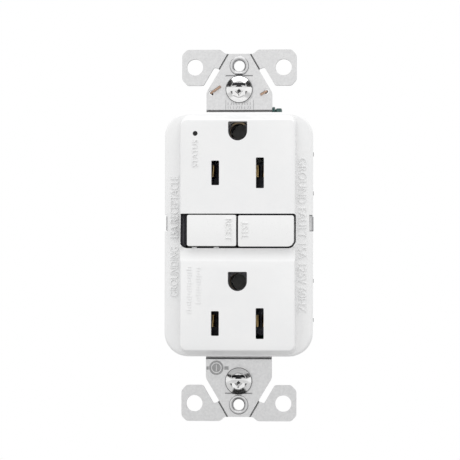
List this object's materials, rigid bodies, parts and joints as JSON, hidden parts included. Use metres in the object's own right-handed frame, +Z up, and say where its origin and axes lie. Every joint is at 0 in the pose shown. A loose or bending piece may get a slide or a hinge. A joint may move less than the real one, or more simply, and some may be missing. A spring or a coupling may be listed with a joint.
{
  "type": "receptacle",
  "caption": "White ground-fault duplex receptacle with RESET and TEST keys, status light, break-off ears on a steel strap and side terminals.",
  "frame": {"origin": "midway between the two box-mounting holes, on the rear face of the strap", "axes": "+Z up along the strap, +X to the right seen from the front, +Y back into the box; the face looks along -Y"},
  "size_m": [0.0422, 0.0353, 0.1062],
  "materials": {
    "white_plastic": "smooth moulded, satin gloss",
    "button_plastic": "smooth moulded, satin gloss",
    "black_plastic": "moulded, matt",
    "grey_plastic": "moulded, matt",
    "natural_plastic": "moulded, unpigmented",
    "zinc_steel": "zinc plated, satin",
    "nickel_steel": "nickel plated, bright",
    "brass": "stamped, bright",
    "copper": "stamped copper alloy",
    "bronze_wire": "drawn bronze wire",
    "green_screw": "green coated steel",
    "fibre": "pressed vulcanised fibre",
    "board_green": "glass-epoxy board with solder mask",
    "enamel_wire": "enamelled copper wire",
    "ferrite": "coated ferrite",
    "blue_varistor": "epoxy dipped",
    "yellow_film": "film case",
    "led_lens": "tinted epoxy",
    "clear_plastic": "clear moulded"
  },
  "bodies": {
    "device_body": {"auto_ground_clip": "bronze_wire", "back_housing": "grey_plastic", "case_screw_lower_left": "zinc_steel", "case_screw_lower_right": "zinc_steel", "case_screw_upper_left": "zinc_steel", "case_screw_upper_right": "zinc_steel", "circuit_board": "board_green", "coil_bobbin": "natural_plastic", "coil_winding": "enamel_wire", "control_chip": "black_plastic", "face_contact_hot": "brass", "face_contact_neutral": "brass", "face_cover": "white_plastic", "film_capacitor": "yellow_film", "front_insulator": "black_plastic", "ground_contact_lower": "brass", "ground_contact_upper": "brass", "light_pipe": "clear_plastic", "line_bar_hot": "copper", "line_bar_neutral": "copper", "line_hot_terminal": "brass", "line_neutral_terminal": "nickel_steel", "load_hot_terminal": "brass", "load_neutral_terminal": "nickel_steel", "middle_tray": "natural_plastic", "mounting_strap": "zinc_steel", "neutral_transformer": "enamel_wire", "plunger_spring": "nickel_steel", "reset_spring": "nickel_steel", "sense_transformer": "ferrite", "solenoid_frame": "zinc_steel", "status_led": "led_lens", "surge_varistor": "blue_varistor", "test_resistor": "natural_plastic", "transformer_cup": "black_plastic"},
    "reset_key": {"reset_button": "button_plastic", "reset_pin": "nickel_steel"},
    "test_key": {"test_button": "button_plastic"},
    "test_leaf": {"test_blade": "copper"},
    "carriage": {"contact_carriage": "black_plastic"},
    "latch": {"latch_plate": "nickel_steel"},
    "arm_hot": {"contact_arm_hot": "copper"},
    "arm_neutral": {"contact_arm_neutral": "copper"},
    "solenoid_plunger": {"plunger": "zinc_steel"},
    "ground_terminal_screw": {"ground_screw": "green_screw"},
    "load_hot_clamp_plate": {"load_hot_clamp": "brass"},
    "load_hot_terminal_screw": {"load_hot_screw": "brass"},
    "load_neutral_clamp_plate": {"load_neutral_clamp": "nickel_steel"},
    "load_neutral_terminal_screw": {"load_neutral_screw": "nickel_steel"},
    "line_hot_clamp_plate": {"line_hot_clamp": "brass"},
    "line_hot_terminal_screw": {"line_hot_screw": "brass"},
    "line_neutral_clamp_plate": {"line_neutral_clamp": "nickel_steel"},
    "line_neutral_terminal_screw": {"line_neutral_screw": "nickel_steel"},
    "top_retainer": {"screw_retainer_top": "fibre"},
    "top_box_screw": {"mounting_screw_top": "nickel_steel"},
    "bottom_retainer": {"screw_retainer_bottom": "fibre"},
    "bottom_box_screw": {"mounting_screw_bottom": "nickel_steel"}
  },
  "joints": [
    {"name": "reset_press", "type": "slide", "parent": "device_body", "child": "reset_key", "axis": [0, 1, 0], "range_m": [-0.0012, 0.0015], "stiffness_N_per_m": 400, "deforming": ["reset_spring"]},
    {"name": "test_press", "type": "slide", "parent": "device_body", "child": "test_key", "axis": [0, 1, 0], "range_m": [0, 0.0012], "stiffness_N_per_m": 500},
    {"name": "test_leaf_flex", "type": "hinge", "parent": "device_body", "child": "test_leaf", "pos_m": [0.008, 0.013, -0.01], "axis": [-1, 0, 0], "range_deg": [0, 8.7]},
    {"name": "carriage_lift", "type": "slide", "parent": "device_body", "child": "carriage", "axis": [0, -1, 0], "range_m": [0, 0.0008], "stiffness_N_per_m": 300},
    {"name": "latch_slide", "type": "slide", "parent": "carriage", "child": "latch", "axis": [0, 0, 1], "range_m": [0, 0.0012]},
    {"name": "arm_hot_close", "type": "hinge", "parent": "device_body", "child": "arm_hot", "pos_m": [-0.004, 0.01485, -0.01], "axis": [1, 0, 0], "range_deg": [0, 5.3]},
    {"name": "arm_neutral_close", "type": "hinge", "parent": "device_body", "child": "arm_neutral", "pos_m": [0.004, 0.01485, -0.01], "axis": [1, 0, 0], "range_deg": [0, 5.3]},
    {"name": "plunger_pull", "type": "slide", "parent": "device_body", "child": "solenoid_plunger", "axis": [0, 0, 1], "range_m": [0, 0.0012], "stiffness_N_per_m": 150, "deforming": ["plunger_spring"]},
    {"name": "load_hot_clamp_open", "type": "slide", "parent": "device_body", "child": "load_hot_clamp_plate", "axis": [-1, 0, 0], "range_m": [0, 0.00159]},
    {"name": "load_hot_screw_turn", "type": "hinge", "parent": "load_hot_clamp_plate", "child": "load_hot_terminal_screw", "pos_m": [-0.0179, 0.01225, 0.019], "axis": [1, 0, 0], "range_deg": [0, 720]},
    {"name": "load_neutral_clamp_open", "type": "slide", "parent": "device_body", "child": "load_neutral_clamp_plate", "axis": [1, 0, 0], "range_m": [0, 0.00159]},
    {"name": "load_neutral_screw_turn", "type": "hinge", "parent": "load_neutral_clamp_plate", "child": "load_neutral_terminal_screw", "pos_m": [0.0179, 0.01225, 0.019], "axis": [-1, 0, 0], "range_deg": [0, 720]},
    {"name": "line_hot_clamp_open", "type": "slide", "parent": "device_body", "child": "line_hot_clamp_plate", "axis": [-1, 0, 0], "range_m": [0, 0.00159]},
    {"name": "line_hot_screw_turn", "type": "hinge", "parent": "line_hot_clamp_plate", "child": "line_hot_terminal_screw", "pos_m": [-0.0179, 0.01225, -0.019], "axis": [1, 0, 0], "range_deg": [0, 720]},
    {"name": "line_neutral_clamp_open", "type": "slide", "parent": "device_body", "child": "line_neutral_clamp_plate", "axis": [1, 0, 0], "range_m": [0, 0.00159]},
    {"name": "line_neutral_screw_turn", "type": "hinge", "parent": "line_neutral_clamp_plate", "child": "line_neutral_terminal_screw", "pos_m": [0.0179, 0.01225, -0.019], "axis": [-1, 0, 0], "range_deg": [0, 720]},
    {"name": "top_screw_shift", "type": "slide", "parent": "device_body", "child": "top_retainer", "axis": [1, 0, 0], "range_m": [-0.001, 0.001]},
    {"name": "top_screw_turn", "type": "hinge", "parent": "top_retainer", "child": "top_box_screw", "pos_m": [0, 0, 0.04167], "axis": [0, -1, 0], "continuous": true},
    {"name": "bottom_screw_shift", "type": "slide", "parent": "device_body", "child": "bottom_retainer", "axis": [1, 0, 0], "range_m": [-0.001, 0.001]},
    {"name": "bottom_screw_turn", "type": "hinge", "parent": "bottom_retainer", "child": "bottom_box_screw", "pos_m": [0, 0, -0.04167], "axis": [0, -1, 0], "continuous": true},
    {"name": "ground_screw_turn", "type": "hinge", "parent": "device_body", "child": "ground_terminal_screw", "pos_m": [0.00915, 0.006, 0.03265], "axis": [1, 0, 0], "continuous": true}
  ],
  "couplings": [
    {"joint": "test_leaf_flex", "follows": "test_press", "rad_per_m": 125},
    {"joint": "arm_hot_close", "follows": "carriage_lift", "rad_per_m": 114.5},
    {"joint": "arm_neutral_close", "follows": "carriage_lift", "rad_per_m": 114.5},
    {"joint": "latch_slide", "follows": "plunger_pull", "ratio": 1},
    {"joint": "load_hot_screw_turn", "follows": "load_hot_clamp_open", "rad_per_m": 7913},
    {"joint": "load_neutral_screw_turn", "follows": "load_neutral_clamp_open", "rad_per_m": 7913},
    {"joint": "line_hot_screw_turn", "follows": "line_hot_clamp_open", "rad_per_m": 7913},
    {"joint": "line_neutral_screw_turn", "follows": "line_neutral_clamp_open", "rad_per_m": 7913}
  ]
}
